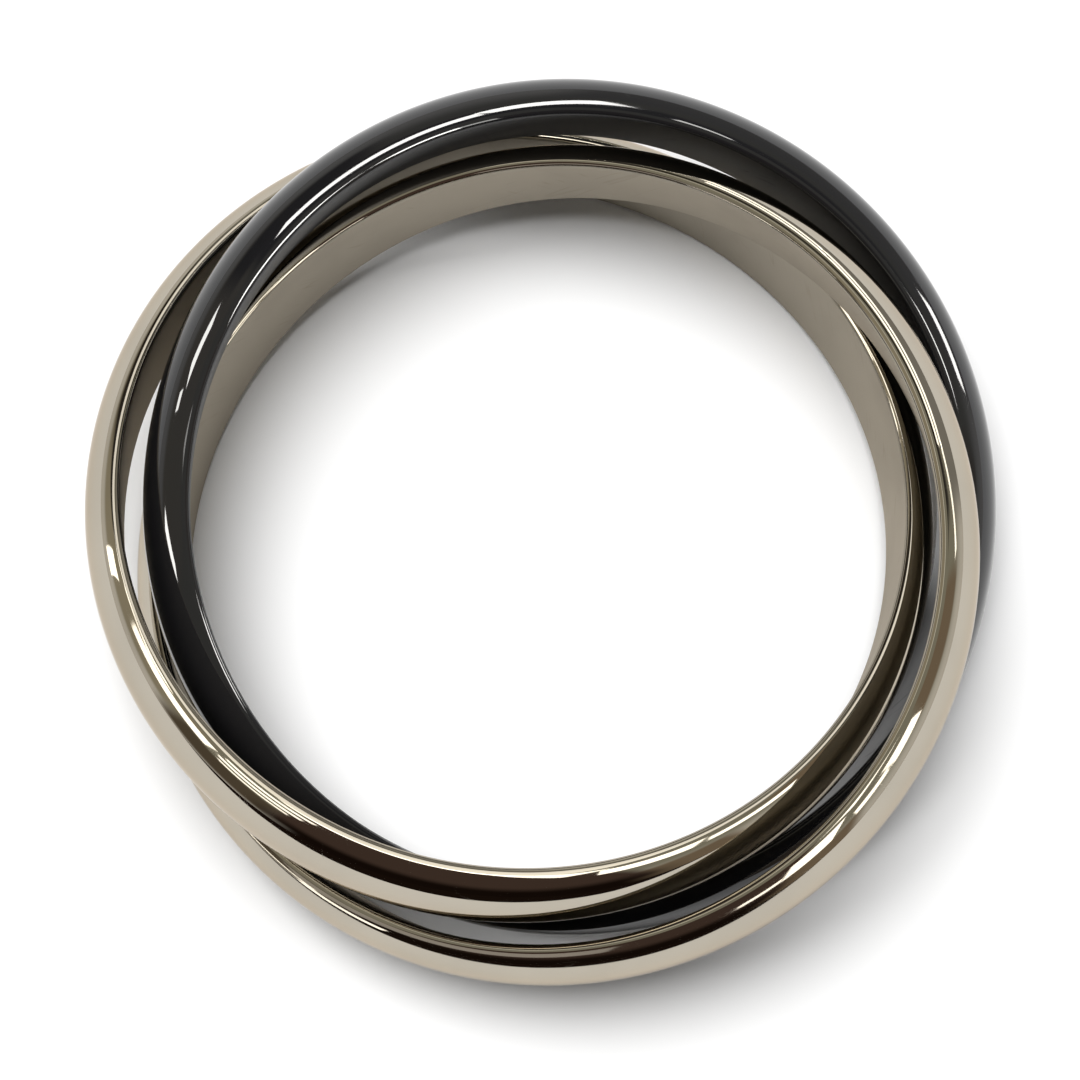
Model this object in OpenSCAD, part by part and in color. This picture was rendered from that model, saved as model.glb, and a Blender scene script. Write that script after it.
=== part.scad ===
// Rolling ring: three linked bands of D section, each leaning on the next.
// Every band is a full turn of one flat-sided section, so it can turn about
// its own axis inside the other two. The pattern rests on the plane z = 0.

/* [Bands] */
// Radius of the middle of every band's section
mid_r = 10.5; // [9:0.1:12]
// Width of every band, along its own axis
band_w = 2.95; // [2.2:0.05:3.2]
// Thickness of the two silver bands, from flat wall to crest
metal_t = 0.95; // [0.8:0.05:1.1]
// Thickness of the black band, from flat wall to crest
black_t = 1.2; // [0.8:0.05:1.3]
// Size of the eased edge between the flat wall and the dome
edge = 0.08; // [0.04:0.02:0.14]

/* [Pattern] */
// How far a band swings up and down, as a share of its width
swing_share = 0.65; // [0.62:0.01:0.8]
// Direction in which the black band stands out furthest, in degrees from +X
black_dir = 34.5; // [0:0.5:120]
// How far the middle of the black band lies off the middle of the pattern
black_off = 0.85; // [0.8:0.05:1.2]
// How far the middle of the first silver band lies off the middle of the pattern
silver_1_off = 1.0; // [0.8:0.05:1.2]
// How far the middle of the second silver band lies off the middle of the pattern
silver_2_off = 0.9; // [0.8:0.05:1.2]

/* [Hidden] */

// Facets of the preview; the arcs themselves are true
$fn = 240;

// Each band as [direction it stands out in, distance off the middle, thickness]
DIR = 0;
OFF = 1;
THICK = 2;
BLACK = [black_dir, black_off, black_t];
SILVER_1 = [black_dir + 120, silver_1_off, metal_t];
SILVER_2 = [black_dir + 240, silver_2_off, metal_t];
BANDS = [BLACK, SILVER_1, SILVER_2];

// Lean of every band, which gives it the swing asked for
tilt = asin(swing_share * band_w / mid_r);

// Radius of the flat inside of a band
function wall_r(band) = mid_r - band[THICK] / 2;

// Rise of the dome's arc, from its ends at the eased edges to its crest
function arc_rise(band) = band[THICK] - edge;

// Radius of the dome's arc, which spans the whole width of the band
function dome_r(band) = (pow(band_w / 2, 2) + pow(arc_rise(band), 2)) / (2 * arc_rise(band));

// Distance of the middle of that arc from the band's axis
function dome_mid(band) = wall_r(band) + band[THICK] - dome_r(band);

// Height of a band's middle when the low edge of its lean touches the plane
function rest_z(band) = (wall_r(band) + edge) * sin(tilt) + band_w / 2 * cos(tilt);

// How far a band reaches from the middle of the pattern towards a direction
function reach(band, dir) =
    let (turn = dir - band[DIR])
    band[OFF] * cos(turn)
        + dome_mid(band) * sqrt(1 - pow(sin(tilt) * sin(turn), 2))
        + dome_r(band);

// Reach of the whole pattern towards a direction
function pattern_reach(dir) = max([for (band = BANDS) reach(band, dir)]);

// Middle of the pattern, placed so that the origin is the middle of the outline
pattern_x = (pattern_reach(180) - pattern_reach(0)) / 2;
pattern_y = (pattern_reach(270) - pattern_reach(90)) / 2;

// The D section of a band: flat wall, eased edges, one arc across the dome
module section(band) {
    wall_half = band_w / 2 - edge;
    past_dome = 2 * band[THICK];
    intersection() {
        translate([dome_mid(band), 0])
            circle(r = dome_r(band));
        polygon([
            [wall_r(band), -wall_half],
            [wall_r(band) + past_dome, -wall_half - past_dome],
            [wall_r(band) + past_dome, wall_half + past_dome],
            [wall_r(band), wall_half],
        ]);
    }
}

// One whole band, moved off the middle, leant over and set on the plane
module band(band) {
    translate([pattern_x, pattern_y, rest_z(band)])
        rotate([0, 0, band[DIR]])
            translate([band[OFF], 0, 0])
                rotate([tilt, 0, 0])
                    rotate_extrude()
                        section(band);
}

module black_band() {
    color([0.08, 0.08, 0.09])
        band(BLACK);
}

module silver_band_1() {
    color([0.78, 0.76, 0.73])
        band(SILVER_1);
}

module silver_band_2() {
    color([0.74, 0.72, 0.69])
        band(SILVER_2);
}

black_band();
silver_band_1();
silver_band_2();
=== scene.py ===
"""Rolling ring: three linked bands, two polished in a silver colour and one glossy black.

Each band is one smooth turned form that stands for its solid. It has the size and the place of
that solid, with a softly rounded dome and edges where the solid has an arc and flat bevels.
"""
from collections import namedtuple
from math import asin, cos, degrees, pi, radians, sin, sqrt, tan

import bpy
from mathutils import Matrix, Vector


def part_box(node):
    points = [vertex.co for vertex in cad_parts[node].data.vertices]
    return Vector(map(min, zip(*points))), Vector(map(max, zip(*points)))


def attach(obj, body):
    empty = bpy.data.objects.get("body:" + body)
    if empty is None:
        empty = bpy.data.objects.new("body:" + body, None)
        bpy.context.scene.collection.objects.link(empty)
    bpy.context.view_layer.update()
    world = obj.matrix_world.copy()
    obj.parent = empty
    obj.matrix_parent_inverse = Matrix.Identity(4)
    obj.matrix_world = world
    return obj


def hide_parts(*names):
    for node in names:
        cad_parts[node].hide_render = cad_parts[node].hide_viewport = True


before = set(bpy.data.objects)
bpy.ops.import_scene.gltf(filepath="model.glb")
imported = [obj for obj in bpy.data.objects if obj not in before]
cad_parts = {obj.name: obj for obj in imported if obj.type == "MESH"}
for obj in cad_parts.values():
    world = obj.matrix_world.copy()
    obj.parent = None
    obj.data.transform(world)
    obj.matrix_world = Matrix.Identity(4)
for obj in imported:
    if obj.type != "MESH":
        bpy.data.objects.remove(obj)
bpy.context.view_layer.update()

# Sizes of the bands, in metres
MM = 0.001
MID_R = 10.5 * MM
BAND_W = 2.95 * MM
SILVER_T = 0.95 * MM
BLACK_T = 1.2 * MM
SILVER_EDGE = 0.17 * MM
BLACK_EDGE = 0.16 * MM
# How far the middle of the dome's half ellipse lies from the flat wall, towards the band's axis
SINK = 0.1 * MM

# The lean of every band, and the direction in which each stands out furthest
SWING_SHARE = 0.65
LEAN = asin(SWING_SHARE * BAND_W / MID_R)
BLACK_DIR = radians(34.5)
THIRD = radians(120)

# Steps of the meshes: round a band, and over the wall, each edge and the dome of its section
TURN_STEPS = 640
WALL_STEPS = 10
EDGE_STEPS = 8
DOME_STEPS = 50
# Steps of the search for the place where the dome meets its edges
HALVINGS = 50

# Each band: the solid that it stands for, the body that it rides on, its material slot, the
# direction in which it stands out, its thickness, and the radius of its edges
Band = namedtuple("Band", "node body slot direction thickness edge")
BANDS = [
    Band("black_band", "black", "black_gloss", BLACK_DIR, BLACK_T, BLACK_EDGE),
    Band(
        "silver_band_1", "silver_1", "polished_silver_1",
        BLACK_DIR + THIRD, SILVER_T, SILVER_EDGE,
    ),
    Band(
        "silver_band_2", "silver_2", "polished_silver_2",
        BLACK_DIR + 2 * THIRD, SILVER_T, SILVER_EDGE,
    ),
]

# What the lights face, and the direction that is up in the picture
ORIGIN = Vector((0, 0, 0))
AWAY = Vector((0, 1, 0))

# The camera: where it stands over the ring, what it looks at, and the width of the picture as a
# share of the focal length, both in pixels
CAMERA_AT = Vector((-0.63, -16.63, 80.56)) * MM
LOOKS_AT = Vector((-0.15, -0.27, 3.30)) * MM
VIEW_SHARE = 1080 / 3058.5
SENSOR_MM = 36
CLIP_START = 1 * MM

# The key light, which draws the soft shadows; azimuths run from +Y towards +X
KEY_AZIMUTH = radians(322)
KEY_ELEVATION = radians(76)
KEY_SPREAD = radians(40)
KEY_POWER = 3.75

# Light from all round, as the floor gets it, and what the camera sees past the floor
AMBIENT = 0.10
BACKDROP = 0.93

FLOOR_SIDE = 4.0
# The floor lies this far under the ring's plane, because the rounder edges reach a little lower
FLOOR_DROP = 0.02 * MM
FLOOR_COLOUR = (0.9, 0.9, 0.9)
SHEET_ROUGH = 0.9

# A dark sheet, a painted dark reflection, that lies before the ring and shows in its gloss alone:
# the azimuths of its corners, in degrees, and their distances. It reaches past the floor's edge,
# so that no thin line of floor shows beyond it.
DARK_REFLECTION_CORNERS = [
    (138, 5.0), (146, 0.16), (152, 0.07), (162, 0.042), (187, 0.034), (214, 0.038), (226, 0.05),
    (234, 0.08), (240, 0.16), (246, 5.0),
]
# Its height over the ring's plane
DARK_REFLECTION_LIFT = 0.03 * MM
DARK_REFLECTION_COLOUR = (0.012, 0.007, 0.005)

# A soft spot of light on the floor under the ring's right side, which shows in the gloss between
# the silver bands there: two corners round it, its height over the floor, its strength, and the
# share of its reach within which it has that strength
SPOT_LOW = (8.0 * MM, -1.6 * MM)
SPOT_HIGH = (11.9 * MM, 4.0 * MM)
SPOT_LIFT = 0.01 * MM
SPOT_STRENGTH = 1.5
SPOT_CORE = 0.3

# What the gloss mirrors: a pale room that darkens upwards between two elevations, with soft panels
# of other tones. Each panel has its middle and half sizes in degrees, the softness of its edges,
# and its colour.
ROOM_LOW = (0.80, 0.78, 0.74)
ROOM_HIGH = (0.34, 0.33, 0.27)
ROOM_FROM = 5
ROOM_TO = 32
Panel = namedtuple("Panel", "azimuth elevation wide high soft colour")
PANELS = [
    Panel(98, 36, 14, 16, 6, (0.27, 0.21, 0.15)),
    Panel(145, 8, 14, 14, 6, (0.27, 0.21, 0.15)),
    Panel(238, 16, 15, 14, 8, (0.13, 0.105, 0.075)),
    Panel(290, 38, 36, 24, 8, (0.42, 0.38, 0.29)),
    Panel(322, 32, 16, 15, 10, (0.04, 0.033, 0.026)),
    Panel(12, 52, 60, 12, 8, (0.05, 0.045, 0.04)),
    Panel(40, 12, 34, 16, 10, (0.32, 0.31, 0.29)),
    Panel(187, 34, 38, 27, 5, (0.085, 0.056, 0.046)),
    Panel(187, 0, 38, 18, 16, (0.012, 0.007, 0.005)),
]

# The windows and lamps that make the bright lines on the gloss, each of which lights one band
# alone. Each is a flat strip between two directions, given by azimuth and elevation, with its
# height in degrees and its strength. The black band mirrors little, so it needs the strong ones.
LAMP_AWAY = 1.0
LAMP_COLOUR = (1.0, 0.985, 0.95)
Lamp = namedtuple("Lamp", "start end high strength")
LAMPS = {
    "black": [
        Lamp((320, 50), (0, 48), 8, 24),
        Lamp((0, 47), (18, 38), 9, 24),
        Lamp((31, 49), (39, 48), 4, 12),
        Lamp((61, 11), (73, 12), 9, 20),
        Lamp((290, 33), (301, 38), 8, 20),
        Lamp((284.5, 26), (288, 26), 6, 18),
        Lamp((256, 32), (268, 19), 4, 22),
        Lamp((270, 63), (278, 66), 5, 5),
        Lamp((75, 45), (83, 60), 6, 24),
        Lamp((113, 38), (130, 34), 20, 34),
        Lamp((139, 34), (149, 36), 20, 34),
        Lamp((149, 36), (154, 37), 20, 8),
    ],
    "silver_1": [
        Lamp((112, 29), (129, 37), 8, 3.0),
        Lamp((130, 39), (150, 47), 12, 3.0),
        Lamp((150, 52), (172, 68), 12, 3.0),
        Lamp((172, 66), (240, 65), 10, 3.0),
        Lamp((190, 64), (14, 50), 36, 1.5),
        Lamp((224, 35), (242, 32), 3.5, 2.4),
        Lamp((222, 43), (245, 40), 4.5, 2.8),
        Lamp((221, 52), (247, 49), 5, 2.8),
        Lamp((247, 39), (275, 33), 14, 3.0),
        Lamp((280, 10), (285, 29), 5, 3.0),
        Lamp((270, 44), (288, 55), 8, 3.0),
        Lamp((296, 54), (304, 59), 7, 3.0),
        Lamp((309, 58), (324, 59), 7, 3.0),
    ],
    "silver_2": [
        Lamp((9, 10), (28, 14), 5, 2.8),
        Lamp((28, 14), (43, 22), 5, 2.8),
        Lamp((43, 22), (62, 31), 5, 2.8),
        Lamp((62, 31), (82, 25), 4.5, 2.6),
        Lamp((8, 18), (27, 23), 5, 2.8),
        Lamp((27, 23), (41, 32), 5.5, 2.8),
        Lamp((41, 32), (60, 39), 5, 2.8),
        Lamp((112, 32), (123, 30), 18, 3.0),
        Lamp((123, 27), (133, 26), 9, 3.0),
        Lamp((138, 31), (151, 31), 20, 3.0),
        Lamp((151, 25), (160, 24), 6, 3.0),
        Lamp((128, 50), (142, 58), 14, 3.0),
        Lamp((288, 67), (306, 67), 9, 0.6),
        Lamp((186, 31), (236, 14), 13, 0.42),
        Lamp((217, 3.5), (232, 3.5), 6, 2.8),
        Lamp((230, 8), (245, 5), 3, 2.4),
    ],
}

SILVER_COLOUR = (0.47, 0.43, 0.36)
BLACK_COLOUR = (0.004, 0.004, 0.0045)
BLACK_IOR = 1.52
POLISH_ROUGH = 0.03
# How the silver colour darkens and warms where it is seen at a shallow angle
SILVER_EDGE_TINT = (0.78, 0.72, 0.65)
# The flat walls are rougher than the domes, and their colour is darker, a painted shade: that
# shade as a share of the tone, and what they add to roughness. That look fades out between two
# distances from the wall.
WALL_SHADE_TONE = 0.7
WALL_ROUGH = 0.45
WALL_NEAR = 0.01 * MM
WALL_FAR = 0.05 * MM

# Noises in the polish: how fast they change along x, y, z and outwards from the band's axis, in
# waves to the metre, and how many finer layers they have
Noise = namedtuple("Noise", "scales detail")
POLISHING_LINES = Noise((60, 60, 9000, 9000), 2)
SMUDGES = Noise((300, 300, 300, 0), 3)
SCRATCHED_PLACES = Noise((700, 700, 700, 0), 1)
# The noise levels between which a smudge comes in, and what it adds to tone and roughness
SMUDGE_FROM = 0.4
SMUDGE_TO = 0.7
SMUDGE_TONE = -0.07
SMUDGE_ROUGH = 0.05

# Hairline scratches in two directions: how each set is turned, in radians, the space between its
# lines, and where in the noise its scratched places are taken from
Hairlines = namedtuple("Hairlines", "turn apart shift")
HAIRLINES = [
    Hairlines((0.9, 0.3, 0.0), 0.33 * MM, 33),
    Hairlines((-0.5, 1.1, 0.4), 0.45 * MM, 45),
]
# A scratch runs where a noise that changes slowly along it is near its middle level
HAIR_WAVER = 150
HAIR_LEVEL = 0.5
HAIR_REACH = 0.012
# The noise levels between which a scratched place comes in
SCRATCHED_FROM = 0.5
SCRATCHED_TO = 0.62
# What a scratch adds to roughness, and to the height of the polishing lines
HAIR_ROUGH = 0.1
HAIR_HEIGHT = -0.5
# The height that stands for 1 in those lines, and how strongly they show in each material
RELIEF_HEIGHT = 0.0009 * MM
SILVER_RELIEF = 0.3
BLACK_RELIEF = 0.18


def dome_shape(band):
    """The dome's half ellipse: its rise, its half width, and the slope where an edge meets it."""
    rise = band.thickness + SINK

    def meeting(slope):
        """Where an edge has this slope, outwards and along the axis from the ellipse's middle."""
        return SINK + band.edge * (1 + cos(slope)), BAND_W / 2 - band.edge * (1 - sin(slope))

    low, high = 0, pi / 2
    for _ in range(HALVINGS):
        slope = (low + high) / 2
        out, along = meeting(slope)
        if tan(slope) * out * along > rise ** 2 - out ** 2:
            high = slope
        else:
            low = slope
    return rise, along / sqrt(1 - (out / rise) ** 2), slope


def section(band):
    """The D section of a band, once round, as points with their normals."""
    wall_r = MID_R - band.thickness / 2
    half_wall = BAND_W / 2 - band.edge
    rise, half, meet = dome_shape(band)
    points = []

    def edge(side, start, end):
        """Adds the round edge on one side, between two slopes."""
        for i in range(EDGE_STEPS):
            a = start + (end - start) * i / EDGE_STEPS
            place = (wall_r + band.edge * (1 + cos(a)), side * half_wall + band.edge * sin(a))
            points.append((place, (cos(a), sin(a))))

    for i in range(WALL_STEPS):
        points.append(((wall_r, half_wall * (2 * i / WALL_STEPS - 1)), (-1, 0)))
    edge(1, pi, meet)
    for i in range(DOME_STEPS):
        a = meet * (1 - 2 * i / DOME_STEPS)
        scale = sqrt((rise * cos(a)) ** 2 + (half * sin(a)) ** 2)
        place = (wall_r - SINK + rise ** 2 * cos(a) / scale, half ** 2 * sin(a) / scale)
        points.append((place, (cos(a), sin(a))))
    edge(-1, -meet, -pi)
    return points


def band_mesh(band, placing):
    """A band as a closed mesh where it lies in the frame, with true normals."""
    profile = section(band)
    count = len(profile)
    turning = placing.to_3x3()
    verts, normals, faces = [], [], []
    for i in range(TURN_STEPS):
        turn = 2 * pi * i / TURN_STEPS
        c, s = cos(turn), sin(turn)
        for (r, z), (nr, nz) in profile:
            verts.append(placing @ Vector((r * c, r * s, z)))
            normals.append(turning @ Vector((nr * c, nr * s, nz)))
        here, there = i * count, (i + 1) % TURN_STEPS * count
        for j in range(count):
            k = (j + 1) % count
            faces.append((here + j, here + k, there + k, there + j))
    mesh = bpy.data.meshes.new(band.body)
    mesh.from_pydata(verts, [], faces)
    mesh.shade_smooth()
    mesh.normals_split_custom_set_from_vertices(normals)
    return mesh


def add_band(band):
    """Builds a band where its solid lies, and lets it ride on that solid's body."""
    low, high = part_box(band.node)
    placing = (
        Matrix.Translation((low + high) / 2)
        @ Matrix.Rotation(band.direction, 4, "Z")
        @ Matrix.Rotation(LEAN, 4, "X")
    )
    piece = bpy.data.objects.new(band.body + "_ring", band_mesh(band, placing))
    bpy.context.scene.collection.objects.link(piece)
    piece.data.materials.append(band_material(band, placing))
    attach(piece, band.body)
    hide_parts(band.node)
    return piece


def add_node(tree, kind, settings=(), **inputs):
    """A node with its settings and inputs.

    An input is named by its label, or by i and its number. Each is a value, or an output that is
    linked to it.
    """
    node = tree.nodes.new("ShaderNode" + kind)
    for name, value in dict(settings).items():
        setattr(node, name, value)
    for name, value in inputs.items():
        socket = node.inputs[int(name[1:]) if name[1:].isdigit() else name.replace("_", " ")]
        if isinstance(value, bpy.types.NodeSocket):
            tree.links.new(value, socket)
        else:
            socket.default_value = value
    return node


def maths(tree, operation, *values):
    """The result of one operation on values or outputs."""
    inputs = {"i%d" % i: value for i, value in enumerate(values)}
    return add_node(tree, "Math", {"operation": operation}, **inputs).outputs[0]


def ramp(tree, value, start, end, low=0.0, high=1.0):
    """A smooth step from low at the start value to high at the end value."""
    return add_node(
        tree, "MapRange", {"interpolation_type": "SMOOTHSTEP"},
        Value=value, From_Min=start, From_Max=end, To_Min=low, To_Max=high,
    ).outputs[0]


def mix(tree, share, first, second):
    """A blend of two vectors, which is the second one where the share is 1."""
    return add_node(
        tree, "Mix", {"data_type": "VECTOR"}, i0=share, i4=first, i5=second
    ).outputs[1]


Place = namedtuple("Place", "point radius")


def band_place(tree, placing):
    """The place on a band, measured from its own middle, and its distance from the axis."""
    point = add_node(
        tree, "Mapping", {"vector_type": "TEXTURE"},
        Vector=add_node(tree, "TexCoord").outputs["Object"],
        Location=placing.translation, Rotation=placing.to_euler(),
    ).outputs[0]
    x, y, _ = add_node(tree, "SeparateXYZ", Vector=point).outputs
    square = maths(tree, "MULTIPLY_ADD", x, x, maths(tree, "MULTIPLY", y, y))
    return Place(point, maths(tree, "SQRT", square))


def noise(tree, kind, place, shift=0.0):
    """One of the noises at a place; a shift takes it from elsewhere in the noise."""
    point = add_node(
        tree, "VectorMath", {"operation": "MULTIPLY"}, i0=place.point, i1=kind.scales[:3]
    ).outputs[0]
    outwards = maths(tree, "MULTIPLY_ADD", place.radius, kind.scales[3], shift)
    return add_node(
        tree, "TexNoise", {"noise_dimensions": "4D"},
        Vector=point, W=outwards, Scale=1.0, Detail=kind.detail, Roughness=0.5,
    ).outputs["Fac"]


def scratches(tree, place, hairlines):
    """Fine straight scratches in one direction, as 1 in them and 0 between them."""
    turned = add_node(
        tree, "VectorRotate", {"rotation_type": "EULER_XYZ"},
        Vector=place.point, Rotation=hairlines.turn,
    ).outputs[0]
    kind = Noise((HAIR_WAVER, HAIR_WAVER, 1 / hairlines.apart, 0), 0)
    across = noise(tree, kind, Place(turned, place.radius))
    off = maths(tree, "ABSOLUTE", maths(tree, "SUBTRACT", across, HAIR_LEVEL))
    where = noise(tree, SCRATCHED_PLACES, place, hairlines.shift)
    within = ramp(tree, off, HAIR_REACH, 0.0)
    return maths(tree, "MULTIPLY", within, ramp(tree, where, SCRATCHED_FROM, SCRATCHED_TO))


def band_material(band, placing):
    """Polished silver colour or gloss black, with polishing lines, hairlines, faint smudges and a
    painted shade on the flat walls.
    """
    material = bpy.data.materials.new(band.slot)
    material.use_nodes = True
    tree = material.node_tree
    shader = tree.nodes["Principled BSDF"]
    if band.body == "black":
        colour, relief = BLACK_COLOUR, BLACK_RELIEF
        shader.inputs["IOR"].default_value = BLACK_IOR
    else:
        colour, relief = SILVER_COLOUR, SILVER_RELIEF
        shader.inputs["Metallic"].default_value = 1.0
        shader.inputs["Specular Tint"].default_value = (*SILVER_EDGE_TINT, 1)
    place = band_place(tree, placing)
    wall_r = MID_R - band.thickness / 2
    wall = ramp(tree, place.radius, wall_r + WALL_FAR, wall_r + WALL_NEAR)
    lines = noise(tree, POLISHING_LINES, place)
    smudge = ramp(tree, noise(tree, SMUDGES, place), SMUDGE_FROM, SMUDGE_TO)
    hairs = maths(tree, "ADD", *(scratches(tree, place, hairlines) for hairlines in HAIRLINES))
    tone = maths(tree, "MULTIPLY_ADD", smudge, SMUDGE_TONE, 1.0)
    # The flat walls' colour is darkened here, a painted shade
    tone = maths(tree, "MULTIPLY", tone, maths(tree, "MULTIPLY_ADD", wall, WALL_SHADE_TONE - 1, 1.0))
    painted = add_node(tree, "VectorMath", {"operation": "SCALE"}, i0=colour, Scale=tone)
    tree.links.new(painted.outputs[0], shader.inputs["Base Color"])
    rough = maths(tree, "MULTIPLY_ADD", smudge, SMUDGE_ROUGH, POLISH_ROUGH)
    rough = maths(tree, "MULTIPLY_ADD", wall, WALL_ROUGH, rough)
    rough = maths(tree, "MULTIPLY_ADD", hairs, HAIR_ROUGH, rough)
    tree.links.new(rough, shader.inputs["Roughness"])
    height = maths(tree, "MULTIPLY_ADD", hairs, HAIR_HEIGHT, lines)
    bump = add_node(tree, "Bump", Strength=relief, Distance=RELIEF_HEIGHT, Height=height)
    tree.links.new(bump.outputs[0], shader.inputs["Normal"])
    return material


def look(place, target, up):
    """The matrix of a camera or lamp at a place that looks at a target."""
    back = (place - target).normalized()
    right = up.cross(back).normalized()
    turn = Matrix((right, back.cross(right), back)).transposed().to_4x4()
    return Matrix.Translation(place) @ turn


def add_camera():
    """The camera, where the photograph was taken from."""
    data = bpy.data.cameras.new("camera")
    data.sensor_width = SENSOR_MM
    data.lens = SENSOR_MM / VIEW_SHARE
    data.clip_start = CLIP_START
    camera = bpy.data.objects.new("camera", data)
    bpy.context.scene.collection.objects.link(camera)
    camera.matrix_world = look(CAMERA_AT, LOOKS_AT, AWAY)
    bpy.context.scene.camera = camera


def plain_material(name, colour):
    """A matt material of one colour."""
    material = bpy.data.materials.new(name)
    material.use_nodes = True
    shader = material.node_tree.nodes["Principled BSDF"]
    shader.inputs["Base Color"].default_value = (*colour, 1)
    shader.inputs["Roughness"].default_value = SHEET_ROUGH
    shader.inputs["Specular IOR Level"].default_value = 0
    return material


def add_sheet(name, corners, height, colour):
    """A level sheet of the stage."""
    mesh = bpy.data.meshes.new(name)
    mesh.from_pydata([(*corner, height) for corner in corners], [], [range(len(corners))])
    sheet = bpy.data.objects.new(name, mesh)
    bpy.context.scene.collection.objects.link(sheet)
    mesh.materials.append(plain_material(name, colour))
    return sheet


def rectangle(low, high):
    """The four corners of a rectangle between two of them."""
    return [low, (high[0], low[1]), high, (low[0], high[1])]


def light_spot(sheet):
    """Lets a sheet glow in its middle and fade towards its edges."""
    tree = sheet.data.materials[0].node_tree
    shader = tree.nodes["Principled BSDF"]
    # The coordinates run from 0 to 1 over the sheet, and are made to run from -1 to 1
    across = add_node(
        tree, "VectorMath", {"operation": "MULTIPLY_ADD"},
        i0=add_node(tree, "TexCoord").outputs["Generated"], i1=(2, 2, 0), i2=(-1, -1, 0),
    ).outputs[0]
    off = add_node(tree, "VectorMath", {"operation": "LENGTH"}, i0=across).outputs["Value"]
    strength = ramp(tree, off, 1.0, SPOT_CORE, 0.0, SPOT_STRENGTH)
    shader.inputs["Emission Color"].default_value = (1, 1, 1, 1)
    tree.links.new(strength, shader.inputs["Emission Strength"])


def add_floor():
    """The floor, and the dark sheet of painted reflection and the spot of light on it, which show
    in the gloss alone.
    """
    half = FLOOR_SIDE / 2
    add_sheet("floor", rectangle((-half, -half), (half, half)), -FLOOR_DROP, FLOOR_COLOUR)
    corners = [
        (away * sin(radians(azimuth)), away * cos(radians(azimuth)))
        for azimuth, away in DARK_REFLECTION_CORNERS
    ]
    # A dark sheet that only the gloss sees, a painted dark reflection
    dark_reflection = add_sheet("dark_reflection", corners, DARK_REFLECTION_LIFT, DARK_REFLECTION_COLOUR)
    spot_height = SPOT_LIFT - FLOOR_DROP
    spot = add_sheet("spot", rectangle(SPOT_LOW, SPOT_HIGH), spot_height, FLOOR_COLOUR)
    light_spot(spot)
    for sheet in (dark_reflection, spot):
        sheet.visible_camera = False
        sheet.visible_diffuse = False
        sheet.visible_shadow = False


def direction(azimuth, elevation):
    """The unit vector towards an azimuth, from +Y towards +X, and an elevation."""
    level = cos(elevation)
    return Vector((level * sin(azimuth), level * cos(azimuth), sin(elevation)))


def add_key_light():
    """The soft sun that draws the shadows on the floor; the gloss doesn't mirror it."""
    data = bpy.data.lights.new("key", "SUN")
    data.energy = KEY_POWER
    data.angle = KEY_SPREAD
    light = bpy.data.objects.new("key", data)
    bpy.context.scene.collection.objects.link(light)
    light.matrix_world = look(direction(KEY_AZIMUTH, KEY_ELEVATION), ORIGIN, AWAY)
    light.visible_glossy = False


def add_lamps(body, piece):
    """The lamps that light one piece alone."""
    lit = bpy.data.collections.new(body + "_lit")
    lit.objects.link(piece)
    for i, lamp in enumerate(LAMPS[body]):
        start, end = (direction(*map(radians, ends)) for ends in (lamp.start, lamp.end))
        middle = (start + end).normalized()
        data = bpy.data.lights.new("%s_lamp_%d" % (body, i), "AREA")
        data.shape = "RECTANGLE"
        data.color = LAMP_COLOUR
        data.size = 2 * LAMP_AWAY * tan(start.angle(end) / 2)
        data.size_y = 2 * LAMP_AWAY * tan(radians(lamp.high / 2))
        data.energy = lamp.strength * pi * data.size * data.size_y
        light = bpy.data.objects.new(data.name, data)
        bpy.context.scene.collection.objects.link(light)
        light.matrix_world = look(LAMP_AWAY * middle, ORIGIN, middle.cross(end - start))
        light.light_linking.receiver_collection = lit


def background(tree, colour):
    """A background of one colour, or of one that an output gives."""
    return add_node(tree, "Background", Color=colour).outputs[0]


def grey(level):
    """A grey with its alpha."""
    return level, level, level, 1


def add_world():
    """The studio: what the gloss mirrors, the light on the floor, and a pale backdrop."""
    world = bpy.data.worlds.new("studio")
    bpy.context.scene.world = world
    world.use_nodes = True
    tree = world.node_tree
    towards = add_node(tree, "TexCoord").outputs["Generated"]
    x, y, z = add_node(tree, "SeparateXYZ", Vector=towards).outputs
    azimuth = maths(tree, "MULTIPLY", maths(tree, "ARCTAN2", x, y), degrees(1))
    elevation = maths(tree, "MULTIPLY", maths(tree, "ARCSINE", z), degrees(1))
    colour = mix(tree, ramp(tree, elevation, ROOM_FROM, ROOM_TO), ROOM_LOW, ROOM_HIGH)
    for panel in PANELS:
        # The short way round to the panel's middle
        aside = maths(tree, "WRAP", maths(tree, "SUBTRACT", azimuth, panel.azimuth), 180, -180)
        above = maths(tree, "SUBTRACT", elevation, panel.elevation)
        share = 1.0
        for off, half in ((aside, panel.wide), (above, panel.high)):
            size = maths(tree, "ABSOLUTE", off)
            within = ramp(tree, size, half + panel.soft / 2, half - panel.soft / 2)
            share = maths(tree, "MULTIPLY", share, within)
        colour = mix(tree, share, colour, panel.colour)
    rays = add_node(tree, "LightPath").outputs
    mirrored = background(tree, colour)
    even = background(tree, grey(AMBIENT))
    pale = background(tree, grey(BACKDROP))
    lit = add_node(tree, "MixShader", i0=rays["Is Diffuse Ray"], i1=mirrored, i2=even)
    seen = add_node(tree, "MixShader", i0=rays["Is Camera Ray"], i1=lit.outputs[0], i2=pale)
    tree.links.new(seen.outputs[0], tree.nodes["World Output"].inputs["Surface"])
    # The light samples go to the sun and the lamps, and none to the world
    world.cycles.sampling_method = "NONE"


add_camera()
for band in BANDS:
    add_lamps(band.body, add_band(band))
add_floor()
add_key_light()
add_world()
bpy.context.scene.view_settings.view_transform = "Standard"
